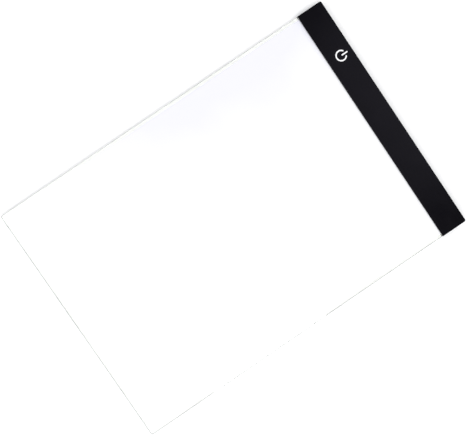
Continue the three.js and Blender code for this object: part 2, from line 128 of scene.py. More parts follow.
# The power mark.
ICON_CENTRE = (-67.4, 158.35)
ICON_RADIUS = 4.55
ICON_STROKE = 1.25
ICON_FIT = 0.03
ICON_DEPTH = 0.4
ICON_GAP = math.radians(37)
ICON_BAR = (1.05, 6.25)

# The room: where the camera stands, and the direction that the strip's flat top mirrors to it.
CAMERA_PLACE = (-23.1, -13.3, 579.7)
CAMERA_FORWARD = (0.0374, 0.0194, -0.9991)
CAMERA_UP = (-0.8273, 0.5614, -0.0201)
STRIP_GLINT = (0.04, 0.295, 0.955)
FLOOR_REACH = 20000

# How far a cutting tool stands out of what it cuts.
SPARE = 1


# ---------------------------------------------------------------- camera, floor, light


def aim(obj, place, forward, up):
    """Stand obj at place with its -Z along forward and its +Y near up."""
    z = -Vector(forward).normalized()
    x = Vector(up).cross(z).normalized()
    turn = Matrix((x, z.cross(x), z)).transposed().to_4x4()
    obj.matrix_world = Matrix.Translation(Vector(place) * MM) @ turn


def add_camera():
    data = bpy.data.cameras.new("camera")
    data.lens = 50
    data.sensor_width = 36
    data.clip_start = 0.01
    camera = bpy.data.objects.new("camera", data)
    bpy.context.scene.collection.objects.link(camera)
    aim(camera, CAMERA_PLACE, CAMERA_FORWARD, CAMERA_UP)
    bpy.context.scene.camera = camera


def add_softbox(name, place, target, size, power, tint=(1, 1, 1)):
    """A rectangular lamp at place that faces target."""
    data = bpy.data.lights.new(name, "AREA")
    data.shape = "RECTANGLE"
    data.size, data.size_y = size[0] * MM, size[1] * MM
    data.energy = power
    data.color = tint
    light = bpy.data.objects.new(name, data)
    bpy.context.scene.collection.objects.link(light)
    aim(light, place, Vector(target) - Vector(place), (0, 1, 0.01))


def add_studio():
    """A light tent with a dark card overhead, a lamp for the strip's sheen and one from the right."""
    world = bpy.data.worlds.new("light_tent")
    bpy.context.scene.world = world
    world.use_nodes = True
    nodes, links = world.node_tree.nodes, world.node_tree.links
    background = nodes["Background"]
    direction = nodes.new("ShaderNodeTexCoord").outputs["Generated"]

    def math_node(operation, a, b):
        node = nodes.new("ShaderNodeMath")
        node.operation = operation
        links.new(a, node.inputs[0])
        if isinstance(b, (int, float)):
            node.inputs[1].default_value = b
        else:
            links.new(b, node.inputs[1])
        return node.outputs[0]

    def along(vector, weights):
        node = nodes.new("ShaderNodeVectorMath")
        node.operation = "DOT_PRODUCT"
        links.new(vector, node.inputs[0])
        node.inputs[1].default_value = weights
        return node.outputs["Value"]

    # The card keeps the strip black: its flat top mirrors this part of the tent to the camera.
    # The tent is full from 36 degrees off that direction, and almost black within 20 degrees.
    card = nodes.new("ShaderNodeMapRange")
    card.interpolation_type = "SMOOTHSTEP"
    links.new(along(direction, STRIP_GLINT), card.inputs["Value"])
    for socket, number in zip(("From Min", "From Max", "To Min", "To Max"), (0.81, 0.94, 1.14, 0.03)):
        card.inputs[socket].default_value = number
    # The tent is brighter beyond the box's two short sides and dimmer beyond its long ones.
    squared = nodes.new("ShaderNodeVectorMath")
    squared.operation = "MULTIPLY"
    links.new(direction, squared.inputs[0])
    links.new(direction, squared.inputs[1])
    round_about = math_node("ADD", along(squared.outputs["Vector"], (-0.5, 1.1, 0)), 1.0)
    gain = math_node("ADD", round_about, along(direction, (0.12, 0.12, 0)))
    links.new(math_node("MULTIPLY", gain, card.outputs["Result"]), background.inputs["Strength"])
    background.inputs["Color"].default_value = (0.985, 0.99, 1, 1)

    add_softbox("overhead_softbox", (22, 605, 1300), (0, 157, 0), (560, 260), 0.28, (0.88, 0.84, 1))
    add_softbox("side_softbox", (600, -120, 1500), (0, 0, 0), (450, 450), 6)
    bpy.context.scene.view_settings.view_transform = "Standard"


def add_floor():
    """A white shooting table, very faintly lit from below."""
    corners = [(x * FLOOR_REACH, y * FLOOR_REACH, 0) for x, y in ((-1, -1), (1, -1), (1, 1), (-1, 1))]
    floor = mesh_object("floor", corners, [(0, 1, 2, 3)])
    glow = dict(Emission_Strength=0.08, Emission_Color=(1, 1, 1, 1))
    finish = Finish("pale_floor", (0.93, 0.93, 0.93), 0.6, Specular_IOR_Level=0.2, **glow)
    floor.data.materials.append(finish.material)


# ---------------------------------------------------------------- meshes


def mesh_object(name, points, faces):
    mesh = bpy.data.meshes.new(name)
    mesh.from_pydata([Vector(p) * MM for p in points], [], faces)
    mesh.update()
    obj = bpy.data.objects.new(name, mesh)
    bpy.context.scene.collection.objects.link(obj)
    return obj


def arc(centre, radius, start, turn, steps):
    """Points on an arc, its angles in quarter turns."""
    angles = [(start + turn * i / steps) * math.pi / 2 for i in range(steps + 1)]
    return [(centre[0] + radius * math.cos(a), centre[1] + radius * math.sin(a)) for a in angles]


def rectangle(xs, ys, front_radius, back_radius, steps=10):
    """A rectangle, anticlockwise from its front left corner, with rounded corners."""
    (x0, x1), (y0, y1) = xs, ys
    f, b = front_radius, back_radius
    return (
        arc((x0 + f, y0 + f), f, 2, 1, steps)
        + arc((x1 - f, y0 + f), f, 3, 1, steps)
        + arc((x1 - b, y1 - b), b, 0, 1, steps)
        + arc((x0 + b, y1 - b), b, 1, 1, steps)
    )


def inset(outline, distance):
    """The outline moved inwards by distance, point for point."""
    moved = []
    for i, here in enumerate(outline):
        here = Vector(here)
        before = (here - Vector(outline[i - 1])).normalized()
        after = (Vector(outline[(i + 1) % len(outline)]) - here).normalized()
        bisector = (Vector((-before.y, before.x)) + Vector((-after.y, after.x))).normalized()
        stretch = bisector.dot(Vector((-before.y, before.x)))
        moved.append(here + bisector * distance / max(stretch, 0.3))
    return moved


def loft(name, rings):
    """A closed body from a stack of rings of equal length, capped at both ends."""
    count = len(rings[0])
    points = [p for ring in rings for p in ring]
    faces = [tuple(reversed(range(count))), tuple(range(len(points) - count, len(points)))]
    for low in range(0, len(points) - count, count):
        for i in range(count):
            j = (i + 1) % count
            faces.append((low + i, low + j, low + j + count, low + i + count))
    return mesh_object(name, points, faces)


def rounded_edge(radius, steps):
    """(inset, rise) pairs from the flat of a slab's face to its side."""
    angles = [math.pi / 2 * i / steps for i in range(steps + 1)]
    return [(radius * (1 - math.sin(a)), radius * (1 - math.cos(a))) for a in angles]


def slab(name, outline, levels, low_radius, high_radius, steps=4):
    """The outline between two levels, with its bottom and top edges rounded."""
    low, high = levels
    rings = [(d, low + rise) for d, rise in rounded_edge(low_radius, steps)]
    rings += [(d, high - rise) for d, rise in reversed(rounded_edge(high_radius, steps))]
    return loft(name, [[(*p, z) for p in inset(outline, d)] for d, z in rings])


def turned(name, profile, centre=(0, 0), sides=64):
    """A body turned about a vertical axis from (radius, z) pairs, lowest first, ends off the axis."""
    x, y = centre
    turns = [2 * math.pi * i / sides for i in range(sides)]
    spokes = [(math.cos(a), math.sin(a)) for a in turns]
    return loft(name, [[(x + r * c, y + r * s, z) for c, s in spokes] for r, z in profile])


def finished_mesh(obj):
    """Replace obj's mesh with what its modifiers make of it."""
    made = bpy.data.meshes.new_from_object(obj.evaluated_get(bpy.context.evaluated_depsgraph_get()))
    obj.modifiers.clear()
    obj.data = made


def combine(obj, tools, operation):
    """Cut the tools from obj, or join them to it, and remove them."""
    for tool in tools:
        modifier = obj.modifiers.new("cut", "BOOLEAN")
        modifier.operation = operation
        modifier.solver = "EXACT"
        modifier.object = tool
        finished_mesh(obj)
        bpy.data.objects.remove(tool)


def box_tool(xs, ys, zs):
    """A plain box to cut or join with."""
    # An outline without rounding has each corner twice, hence every other point.
    return loft("tool", [[(*p, z) for p in rectangle(xs, ys, 0, 0, 1)[::2]] for z in zs])


def smooth(obj, angle=30):
    """Smooth shading that keeps corners sharper than angle, and keeps large flats flat."""
    tidy = bmesh.new()
    tidy.from_mesh(obj.data)
    bmesh.ops.remove_doubles(tidy, verts=tidy.verts, dist=1e-7)
    bmesh.ops.recalc_face_normals(tidy, faces=tidy.faces)
    tidy.to_mesh(obj.data)
    tidy.free()
    obj.data.shade_smooth()
    obj.data.set_sharp_from_angle(angle=math.radians(angle))
    weighted = obj.modifiers.new("even_flats", "WEIGHTED_NORMAL")
    weighted.keep_sharp = True
    return obj


def piece(obj, slot, finish, *nodes):
    """Make obj a finished piece of the light box that stands for the CAD nodes."""
    obj.data.materials.clear()
    obj.data.materials.append(finish.material)
    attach(obj, "root")
    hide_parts(*nodes)
    return obj


# ---------------------------------------------------------------- finishes


class Finish:
    """A node material around one Principled shader, its textures sized in millimetres."""

    def __init__(self, name, color, roughness, **sockets):
        self.material = bpy.data.materials.new(name)
        self.material.use_nodes = True
        self.nodes = self.material.node_tree.nodes
        self.links = self.material.node_tree.links
        self.shader = self.nodes["Principled BSDF"]
        self.shader.inputs["Base Color"].default_value = (*color, 1)
        self.shader.inputs["Roughness"].default_value = roughness
        for socket, value in sockets.items():
            self.shader.inputs[socket.replace("_", " ")].default_value = value
        self.place = self.nodes.new("ShaderNodeTexCoord").outputs["Object"]
        self.normal = None

    def put(self, socket, source):
        self.links.new(source, self.shader.inputs[socket])

    def sized(self, size, stretch=(1, 1, 1)):
        """Coordinates in which one unit is size millimetres."""
        mapping = self.nodes.new("ShaderNodeMapping")
        mapping.inputs["Scale"].default_value = [1 / (size * s * MM) for s in stretch]
        self.links.new(self.place, mapping.inputs["Vector"])
        return mapping.outputs["Vector"]

    def noise(self, size, detail=2.0, stretch=(1, 1, 1), distortion=0.0):
        node = self.nodes.new("ShaderNodeTexNoise")
        node.inputs["Scale"].default_value = 1
        node.inputs["Detail"].default_value = detail
        node.inputs["Distortion"].default_value = distortion
        self.links.new(self.sized(size, stretch), node.inputs["Vector"])
        return node.outputs["Fac"]

    def cells(self, size, feature="F1", randomness=1.0):
        node = self.nodes.new("ShaderNodeTexVoronoi")
        node.feature = feature
        node.inputs["Scale"].default_value = 1
        node.inputs["Randomness"].default_value = randomness
        self.links.new(self.sized(size), node.inputs["Vector"])
        return node.outputs["Distance"]

    def axis(self, letter):
        """The position along one axis, in metres."""
        split = self.nodes.new("ShaderNodeSeparateXYZ")
        self.links.new(self.place, split.inputs[0])
        return split.outputs[letter]

    def span(self, value, start, end, low=0.0, high=1.0):
        """value, rescaled from start..end to low..high and held there outside it."""
        node = self.nodes.new("ShaderNodeMapRange")
        for socket, number in zip(("From Min", "From Max", "To Min", "To Max"), (start, end, low, high)):
            node.inputs[socket].default_value = number
        self.links.new(value, node.inputs["Value"])
        return node.outputs["Result"]

    def math(self, operation, a, b=0.0):
        node = self.nodes.new("ShaderNodeMath")
        node.operation = operation
        for socket, value in zip(node.inputs, (a, b)):
            if isinstance(value, (int, float)):
                socket.default_value = value
            else:
                self.links.new(value, socket)
        return node.outputs[0]

    def mix(self, factor, a, b):
        """A colour between a and b, each a colour or another node's output."""
        node = self.nodes.new("ShaderNodeMix")
        node.data_type = "RGBA"
        self.links.new(factor, node.inputs["Factor"])
        for socket, value in ((node.inputs[6], a), (node.inputs[7], b)):
            if isinstance(value, tuple):
                socket.default_value = (*value, 1)
            else:
                self.links.new(value, socket)
        return node.outputs[2]

    def bump(self, height, depth):
        """Raise the surface by height times depth millimetres, on top of what is there already."""
        node = self.nodes.new("ShaderNodeBump")
        node.inputs["Strength"].default_value = 1
        node.inputs["Distance"].default_value = depth * MM
        self.links.new(height, node.inputs["Height"])
        if self.normal is not None:
            self.links.new(self.normal, node.inputs["Normal"])
        self.normal = node.outputs["Normal"]
        self.put("Normal", self.normal)

    def handled(self, low, high, size=28):
        """Roughness that wanders between low and high, as on a surface that is often touched."""
        self.put("Roughness", self.span(self.noise(size, 5, distortion=0.6), 0.3, 0.7, low, high))


def moulded_black():
    f = Finish("moulded_black_abs", (0.01, 0.01, 0.012), 0.24, Specular_IOR_Level=0.25)
    cloud = f.span(f.noise(26, 3), 0.3, 0.7)
    flecks = f.span(f.noise(0.35, 2), 0.35, 0.7)
    base = f.mix(cloud, (0.0022, 0.0020, 0.0031), (0.0030, 0.0027, 0.0042))
    f.put("Base Color", f.mix(flecks, base, (0.0038, 0.0035, 0.0053)))
    f.handled(0.17, 0.24)
    f.bump(f.noise(0.3, 2), 0.006)
    f.bump(f.noise(1.1, 2), 0.004)
    return f


def moulded_white():
    f = Finish("satin_white_abs", (0.85, 0.85, 0.84), 0.55)
    cloud = f.span(f.noise(34, 4), 0.3, 0.7)
    f.put("Base Color", f.mix(cloud, (0.83, 0.832, 0.826), (0.875, 0.877, 0.87)))
    f.handled(0.48, 0.62)
    f.bump(f.cells(0.55, "SMOOTH_F1"), 0.012)
    f.bump(f.noise(0.16, 2), 0.004)
    return f


def clear_acrylic():
    f = Finish("clear_acrylic", (0.972, 0.99, 0.985), 0.03, IOR=1.49, Transmission_Weight=1.0)
    f.put("Roughness", f.span(f.noise(22, 6, distortion=0.5), 0.35, 0.75, 0.015, 0.07))
    f.bump(f.noise(14, 1), 0.002)
    return f


def sawn_acrylic():
    """The sheet's cut edges, with fine upright saw marks."""
    # The grey is partly the frosted edge's own tone and partly painted shade: it darkens the thin line
    # round the panel's outline.
    f = Finish("sawn_acrylic_edge", (0.6, 0.63, 0.625), 0.4, IOR=1.49, Transmission_Weight=0.3)
    marks = f.noise(0.16, 2, stretch=(1, 1, 60))
    f.put("Roughness", f.span(marks, 0.3, 0.7, 0.28, 0.5))
    f.put("Base Color", f.mix(f.span(marks, 0.3, 0.7), (0.52, 0.55, 0.545), (0.64, 0.67, 0.665)))
    f.bump(marks, 0.02)
    return f


def lit_film():
    """Matte diffusing film, lit from below, with a cooler glow in its left corner by the strip."""
    f = Finish("matte_diffuser_film", (0.8, 0.81, 0.82), 0.6, Emission_Strength=0.16)
    right = f.span(f.axis("X"), -0.117, -0.02)
    front = f.span(f.axis("Y"), 0.02, -0.15)
    led_row = f.span(f.axis("Y"), 0.11, 0.15, 0, 0.3)
    warmth = f.math("ADD", f.math("ADD", right, front), led_row)
    warmth = f.math("ADD", warmth, f.span(f.noise(60, 2), 0.3, 0.7, -0.1, 0.1))
    cool = f.span(warmth, 0.25, 1.0, 1, 0)
    f.put("Emission Color", f.mix(cool, (1, 1, 1), (0.25, 0.2, 0.5)))
    grain = f.noise(0.14, 2)
    f.put("Base Color", f.mix(f.span(grain, 0.3, 0.7), (0.745, 0.748, 0.765), (0.765, 0.768, 0.782)))
    f.put("Roughness", f.span(f.noise(20, 4), 0.3, 0.7, 0.55, 0.68))
    f.bump(grain, 0.004)
    return f


def reflector():
    f = Finish("white_reflector_film", (0.92, 0.92, 0.92), 0.3)
    dots = f.span(f.cells(1.2, randomness=0.0), 0.22, 0.3)
    f.put("Base Color", f.mix(dots, (0.95, 0.95, 0.95), (0.88, 0.885, 0.89)))
    f.handled(0.25, 0.4)
    return f


def tape():
    """Paper tape that the light guide lights up from within."""
    glow = dict(Emission_Strength=0.7, Emission_Color=(1, 0.995, 0.97, 1))
    f = Finish("double_sided_tape", (0.82, 0.8, 0.75), 0.7, **glow)
    fibres = f.noise(0.3, 4, stretch=(1, 9, 1))
    f.put("Base Color", f.mix(f.span(fibres, 0.3, 0.7), (0.80, 0.785, 0.745), (0.87, 0.86, 0.83)))
    f.put("Roughness", f.span(fibres, 0.3, 0.7, 0.6, 0.8))
    f.bump(fibres, 0.02)
    return f


def ink():
    f = Finish("white_key_mark", (0.9, 0.9, 0.9), 0.45)
    pits = f.noise(0.12, 3)
    f.put("Base Color", f.mix(f.span(pits, 0.3, 0.6), (0.84, 0.84, 0.85), (0.95, 0.95, 0.95)))
    f.put("Roughness", f.span(pits, 0.3, 0.7, 0.4, 0.55))
    f.bump(pits, 0.006)
    return f


def rubber():
    f = Finish("clear_silicone", (0.66, 0.69, 0.69), 0.45, Transmission_Weight=0.25, IOR=1.41)
    f.put("Base Color", f.mix(f.span(f.noise(1.6, 3), 0.3, 0.7), (0.6, 0.63, 0.63), (0.72, 0.745, 0.74)))
    f.put("Roughness", f.span(f.noise(0.8, 4), 0.3, 0.7, 0.38, 0.6))
    f.bump(f.noise(0.25, 3), 0.01)
    return f


def plated(name, light, dark, low, high):
    """Plated or blackened metal with fine rolling marks and dull patches."""
    f = Finish(name, light, low, Metallic=1.0)
    patches = f.noise(1.4, 4)
    f.put("Base Color", f.mix(f.span(patches, 0.35, 0.7), light, dark))
    marks = f.noise(0.05, 2, stretch=(14, 1, 1))
    f.put("Roughness", f.span(f.math("ADD", marks, patches), 0.7, 1.3, low, high))
    f.bump(marks, 0.001)
    return f


def led_white():
    """The package's white moulding, with the yellow phosphor in its recessed window."""
    f = Finish("led_package", (0.88, 0.88, 0.86), 0.4)
    front = extent(LEDS[0])[1][0]
    entry = f.span(f.axis("Y"), (front + 0.04) * MM, (front + 0.08) * MM)
    floor = f.span(f.axis("Y"), (front + 0.16) * MM, (front + 0.14) * MM)
    inside = f.math("MULTIPLY", entry, floor)
    grain = f.noise(0.12, 3)
    phosphor = f.mix(f.span(grain, 0.3, 0.7), (0.86, 0.6, 0.05), (0.95, 0.75, 0.16))
    f.put("Base Color", f.mix(inside, (0.88, 0.88, 0.86), phosphor))
    f.put("Roughness", f.span(grain, 0.3, 0.7, 0.35, 0.55))
    f.bump(grain, 0.004)
    return f


def circuit(name, mask_low, mask_high, copper_low, copper_high):
    """Solder mask over copper tracks, which show as a raised, lighter grid with round lands."""
    f = Finish(name, mask_low, 0.32, Coat_Weight=0.3)
    tracks = f.nodes.new("ShaderNodeTexBrick")
    tracks.inputs["Scale"].default_value = 1
    tracks.inputs["Mortar Size"].default_value = 0.06
    tracks.inputs["Mortar Smooth"].default_value = 0.3
    f.links.new(f.sized(4.2), tracks.inputs["Vector"])
    land = f.span(f.cells(3.4, randomness=0.8), 0.12, 0.15, 1, 0)
    mask = f.mix(f.span(f.noise(9, 2), 0.3, 0.7), mask_low, mask_high)
    masked = f.mix(tracks.outputs["Fac"], mask, copper_low)
    f.put("Base Color", f.mix(land, masked, copper_high))
    f.put("Roughness", f.span(f.noise(2.5, 3), 0.3, 0.7, 0.26, 0.4))
    f.bump(f.math("ADD", tracks.outputs["Fac"], land), 0.03)
    return f


def ended(name, node, axis, reach, body):
    """A chip whose two sides beyond reach from its middle, along axis, are tinned metal."""
    f = Finish(name, body, 0.5)
    centre = middle(node)["XYZ".index(axis)] * MM
    away = f.math("ABSOLUTE", f.math("SUBTRACT", f.axis(axis), centre))
    tinned = f.span(away, (reach - 0.01) * MM, (reach + 0.01) * MM)
    grain = f.noise(0.14, 3)
    tone = tuple(1.6 * c + 0.004 for c in body)
    f.put("Base Color", f.mix(tinned, f.mix(f.span(grain, 0.35, 0.7), body, tone), (0.72, 0.72, 0.7)))
    f.put("Metallic", tinned)
    wander = f.span(grain, 0.3, 0.7, -0.06, 0.06)
    f.put("Roughness", f.math("ADD", f.span(tinned, 0, 1, 0.5, 0.28), wander))
    f.bump(grain, 0.008)
    return f


def insulation(name, light, dark):
    """Smooth moulded plastic, as on wires and in the socket."""
    f = Finish(name, light, 0.42)
    f.put("Base Color", f.mix(f.span(f.noise(1.8, 3), 0.3, 0.7), light, dark))
    f.put("Roughness", f.span(f.noise(0.6, 3), 0.3, 0.7, 0.36, 0.52))
    f.bump(f.noise(0.3, 2), 0.006)
    return f


BLACK = moulded_black()
WHITE = moulded_white()
ACRYLIC = clear_acrylic()
ACRYLIC_EDGE = sawn_acrylic()
DIFFUSER = lit_film()
REFLECTOR = reflector()
TAPE = tape()
INK = ink()
RUBBER = rubber()
NICKEL = plated("nickel_plate", (0.66, 0.64, 0.6), (0.5, 0.48, 0.45), 0.18, 0.34)
BLACK_STEEL = plated("blackened_steel", (0.055, 0.055, 0.06), (0.03, 0.03, 0.034), 0.3, 0.48)
COPPER = plated("copper_foil", (0.82, 0.42, 0.24), (0.6, 0.28, 0.15), 0.22, 0.42)
GOLD = plated("gold_flash", (0.9, 0.66, 0.26), (0.75, 0.52, 0.2), 0.16, 0.3)
SOCKET_BLACK = insulation("socket_moulding", (0.016, 0.016, 0.017), (0.026, 0.026, 0.028))


# ---------------------------------------------------------------- the sheets


def build_sheets():
    xs, ys, zs = extent("back_plate")
    outline = rectangle(xs, ys, PANEL_CORNER, back_radius=0.15)
    plate = smooth(slab("back_panel", outline, zs, low_radius=0.18, high_radius=0.1))
    piece(plate, "white_plastic", WHITE, "back_plate")

    # The guide is full width on the panel and narrower where it goes into the strip.
    xs, ys, zs = extent("light_guide_plate")
    front = rectangle(xs, (ys[0], PANEL_END), PANEL_CORNER, CUT_CORNER)
    shoulder = len(front) // 2
    tongue = [
        (TONGUE_REACH, PANEL_END),
        (TONGUE_REACH, ys[1]),
        (-TONGUE_REACH, ys[1]),
        (-TONGUE_REACH, PANEL_END),
    ]
    half = shoulder + shoulder // 2
    outline = front[:half] + tongue + front[half:]
    guide = slab("clear_guide", outline, zs, low_radius=0.2, high_radius=0.12, steps=3)
    smooth(guide, 40)
    piece(guide, "clear_acrylic", ACRYLIC, "light_guide_plate")
    guide.data.materials.append(ACRYLIC_EDGE.material)
    for face in guide.data.polygons:
        if abs(face.normal.z) < 0.5:
            face.material_index = 1

    xs, ys, zs = extent("diffuser_film")
    outline = rectangle(xs, ys, FILM_CORNER, CUT_CORNER)
    film = smooth(slab("diffuser_sheet", outline, zs, low_radius=0.04, high_radius=0.08, steps=3))
    piece(film, "diffuser_film", DIFFUSER, "diffuser_film")


# ---------------------------------------------------------------- the strip


def ring_outline(stroke, steps=96):
    """The power mark's open ring, anticlockwise, round-ended, about its own centre."""
    half, cap = stroke / 2, 12
    start = math.pi / 2 + ICON_GAP
    end = math.pi / 2 - ICON_GAP + 2 * math.pi

    def along(radius, first, last, count, centre=(0, 0)):
        angles = [first + (last - first) * i / count for i in range(count + 1)]
        return [(centre[0] + radius * math.cos(a), centre[1] + radius * math.sin(a)) for a in angles]

    tips = [(ICON_RADIUS * math.cos(a), ICON_RADIUS * math.sin(a)) for a in (end, start)]
    return (
        along(ICON_RADIUS + half, start, end, steps)
        + along(half, end, end + math.pi, cap, tips[0])[1:-1]
        + along(ICON_RADIUS - half, end, start, steps)
        + along(half, start + math.pi, start + 2 * math.pi, cap, tips[1])[1:-1]
    )


def bar_outline(stroke, steps=12):
    low, high = ICON_BAR
    return arc((0, high), stroke / 2, 0, 2, steps) + arc((0, low), stroke / 2, 2, 2, steps)


def at_icon(outline):
    return [(ICON_CENTRE[0] + x, ICON_CENTRE[1] + y) for x, y in outline]


def port_tool():
    """The opening round the socket, through the strip's end wall."""
    y = middle("micro_usb_shell").y
    x0 = extent("strip_top_cover")[0][0]
    outline = rectangle((y - PORT_REACH, y + PORT_REACH), PORT_LEVELS, PORT_CORNER, PORT_CORNER, 6)
    return loft("tool", [[(x, *p) for p in outline] for x in (x0 - SPARE, x0 + PORT_DEPTH)])


def strip_plan():
    """The strip's outline, and the spans of the hollow inside it, open to the panel."""
    xs, ys, _ = extent("strip_top_cover")
    inner_xs = (xs[0] + COVER_WALL, xs[1] - COVER_WALL)
    inner_ys = (ys[0] - SPARE, ys[1] - COVER_WALL)
    return rectangle(xs, ys, STRIP_FRONT_CORNER, STRIP_CORNER), inner_xs, inner_ys


def build_top_cover():
    outline, inner_xs, inner_ys = strip_plan()
    low, high = extent("strip_top_cover")[2]
    spots = [middle(node).xy for node in SCREWS]

    shell = slab("top_shell", outline, (UPPER_WALL_BOTTOM, high), MEETING_FILLET, COVER_FILLET, 8)
    combine(shell, [box_tool(inner_xs, inner_ys, (low - SPARE, COVER_ROOF_UNDER))], "DIFFERENCE")
    boss = [(BOSS_RADIUS, low), (BOSS_RADIUS, COVER_ROOF_UNDER + 0.1)]
    combine(shell, [turned("tool", boss, spot) for spot in spots], "UNION")

    pilot = [(PILOT_RADIUS, low - SPARE), (PILOT_RADIUS, PILOT_TOP)]
    pilots = [turned("tool", pilot, spot, 32) for spot in spots]
    marks = (ring_outline(ICON_STROKE), bar_outline(ICON_STROKE))
    pocket = (high - ICON_DEPTH, high + SPARE)
    pockets = [loft("tool", [[(*p, z) for p in at_icon(mark)] for z in pocket]) for mark in marks]
    combine(shell, [port_tool(), *pilots, *pockets], "DIFFERENCE")
    piece(smooth(shell), "black_plastic", BLACK, "strip_top_cover")


def build_power_mark():
    top = extent("strip_top_cover")[2][1]
    levels = (top - ICON_DEPTH + ICON_FIT, top)
    for node, mark in (("power_icon_ring", ring_outline), ("power_icon_bar", bar_outline)):
        outline = at_icon(mark(ICON_STROKE - 2 * ICON_FIT))
        inlay = slab(node.replace("icon", "mark"), outline, levels, 0.01, 0.05, 3)
        piece(smooth(inlay), "white_ink", INK, node)


def build_bottom_cover():
    outline, inner_xs, inner_ys = strip_plan()
    low, high = extent("strip_bottom_cover")[2]

    shell = slab("bottom_shell", outline, (low, LOWER_WALL_TOP), COVER_FILLET, MEETING_FILLET, 8)
    hollow = (COVER_FLOOR_TOP, LOWER_WALL_TOP + SPARE)
    combine(shell, [box_tool(inner_xs, inner_ys, hollow)], "DIFFERENCE")

    # The lip that the top cover's walls close round.
    lip_xs = (inner_xs[0] + LIP_GAP, inner_xs[1] - LIP_GAP)
    lip_ys = (LIP_FRONT, inner_ys[1] - LIP_GAP)
    lip = box_tool(lip_xs, lip_ys, (COVER_FLOOR_TOP - LIP_ROOT, high))
    within_xs = (lip_xs[0] + LIP_WALL, lip_xs[1] - LIP_WALL)
    within_ys = (lip_ys[0] - SPARE, lip_ys[1] - LIP_WALL)
    combine(lip, [box_tool(within_xs, within_ys, (low, high + SPARE))], "DIFFERENCE")
    combine(shell, [lip], "UNION")

    hole = [
        (HEAD_RADIUS + HEAD_CLEARANCE, low - SPARE),
        (HEAD_RADIUS + HEAD_CLEARANCE, low + HEAD_DEPTH),
        (PILOT_RADIUS, low + COUNTERSINK_DEPTH),
        (PILOT_RADIUS, COVER_FLOOR_TOP + SPARE),
    ]
    holes = [turned("tool", hole, middle(node).xy, 48) for node in SCREWS]
    combine(shell, [port_tool(), *holes], "DIFFERENCE")
    piece(smooth(shell), "black_plastic", BLACK, "strip_bottom_cover")


def copies(master, names, nodes):
    """The master under the first name, and a copy of it for each other name, with their CAD nodes."""
    for i, (name, node) in enumerate(zip(names, nodes)):
        copy = master.copy() if i else master
        copy.name = name
        if i:
            bpy.context.scene.collection.objects.link(copy)
        yield copy, node


def build_screws():
    """Countersunk screws seen head on, with a tapered cross recess and a rolled thread."""
    low, high = extent(SCREWS[0])[2]
    profile = [(HEAD_RADIUS - 0.06, 0), (HEAD_RADIUS, HEAD_CHAMFER), (HEAD_RADIUS, HEAD_RIM)]
    profile.append((SHANK_RADIUS, SHANK_START))
    thread = ((THREAD_ROOT, 0), (SHANK_RADIUS, 0.12), (SHANK_RADIUS, 0.2), (THREAD_ROOT, 0.32))
    z = THREAD_SPAN[0]
    while z < THREAD_SPAN[1]:
        profile += [(radius, z + rise) for radius, rise in thread]
        z += THREAD_PITCH
    profile.append((TIP_RADIUS, high - low))
    screw = turned("screw_master", profile, sides=48)
    # Each bar of the cross recess: half its length, half its width, and how deep.
    recess = ((1.05, 0.24, -0.2), (1.0, 0.22, 0.0), (0.5, 0.12, 0.5))
    for turn in (0, 1):
        wings = []
        for reach, half, z in recess:
            corners = [(-reach, -half), (reach, -half), (reach, half), (-reach, half)]
            wings.append([(y, -x, z) if turn else (x, y, z) for x, y in corners])
        combine(screw, [loft("tool", wings)], "DIFFERENCE")
    smooth(screw, 35)
    names = [node.replace("cover", "countersunk") for node in SCREWS]
    for i, (copy, node) in enumerate(copies(screw, names, SCREWS)):
        spot = middle(node)
        turn = Matrix.Rotation(math.radians(23 + 67 * i), 4, "Z")
        copy.matrix_world = Matrix.Translation(Vector((spot.x, spot.y, low)) * MM) @ turn
        piece(copy, "black_steel", BLACK_STEEL, node)


def build_feet():
    """Self-adhesive bumpers: a flat tread with a rounded rim and a shallow dimple."""
    top = extent(FEET[0])[2][1]
    profile = [(0.2, FOOT_DIMPLE), (2.2, FOOT_DIMPLE), (2.35, 0.03), (2.5, 0), (3.55, 0)]
    profile += [(FOOT_RADIUS - d, rise) for d, rise in rounded_edge(FOOT_ROUND, 6)[1:]]
    profile += [(FOOT_RADIUS, top - 0.08), (FOOT_RADIUS - 0.06, top)]
    foot = smooth(turned("foot_master", profile), 50)
    names = [node.replace("rubber_foot", "bumper") for node in FEET]
    for copy, node in copies(foot, names, FEET):
        spot = middle(node)
        copy.matrix_world = Matrix.Translation(Vector((spot.x, spot.y, 0)) * MM)
        piece(copy, "silicone", RUBBER, node)


# ---------------------------------------------------------------- the socket


def shell_section(x, grow):
    """The shell's outline at x, grown outwards: a box with two cut corners and soft bends."""
    _, (y0, y1), (z0, z1) = extent("micro_usb_shell")
    y0, y1, z0, z1 = y0 - grow, y1 + grow, z0 - grow, z1 + grow
    cut = SHELL_CHAMFER
    corners = [(y0 + cut, z0), (y1 - cut, z0), (y1, z0 + cut), (y1, z1), (y0, z1), (y0, z0 + cut)]
    ring = []
    for i, (y, z) in enumerate(corners):
        here = Vector((y, z))
        before = Vector(corners[i - 1]) - here
        after = Vector(corners[(i + 1) % len(corners)]) - here
        ends = here + before.normalized() * SHELL_BEND, here + after.normalized() * SHELL_BEND
        for t in (0, 0.25, 0.5, 0.75, 1):
            p = ends[0] * (1 - t) ** 2 + here * 2 * t * (1 - t) + ends[1] * t**2
            ring.append((x, p.x, p.y))
    return ring


def build_socket_shell():
    """A folded steel shell with a flared mouth."""
    mouth, back = extent("micro_usb_shell")[0]
    outside = [(back, -0.08), (back - 0.08, 0), (mouth + 0.7, 0), (mouth + 0.3, 0.05)]
    lip = [(mouth + 0.08, SHELL_FLARE), (mouth, SHELL_FLARE - 0.02), (mouth + 0.02, 0.02)]
    throat = [(mouth + 0.2, 0.12 - SHELL_WALL), (mouth + 0.6, -SHELL_WALL)]
    inside = throat + [(back - SHELL_WALL, -SHELL_WALL)]
    rings = [shell_section(x, grow) for x, grow in outside + lip + inside]
    shell = smooth(loft("socket_shell", rings), 40)
    piece(shell, "nickel_steel", NICKEL, "micro_usb_shell")


